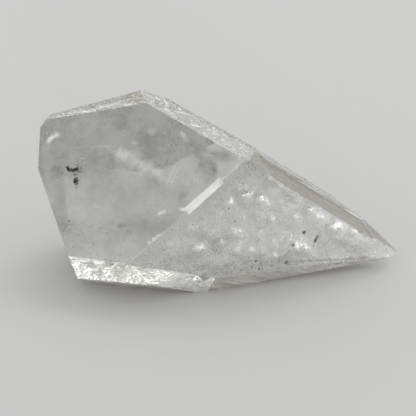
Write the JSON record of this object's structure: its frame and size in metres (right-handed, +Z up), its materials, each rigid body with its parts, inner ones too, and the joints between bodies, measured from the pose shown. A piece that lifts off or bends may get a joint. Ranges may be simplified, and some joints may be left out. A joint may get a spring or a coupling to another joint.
{
  "type": "herkimer diamond",
  "caption": "Clear, doubly pointed quartz crystal lying on its side, with flat faces, a broken etched face and an iron-stained edge.",
  "frame": {"origin": "centre of the crystal's bounding box, on the surface it rests on", "axes": "+Z up, +X along the length towards the sharp point, -Y towards the viewer who sees the large smooth face"},
  "size_m": [0.0326, 0.018, 0.0163],
  "materials": {
    "quartz": "clear glassy crystal faces, with frosted broken faces and a tan iron stain along the upper edge"
  },
  "bodies": {
    "root": {"crystal": "quartz"}
  },
  "joints": []
}
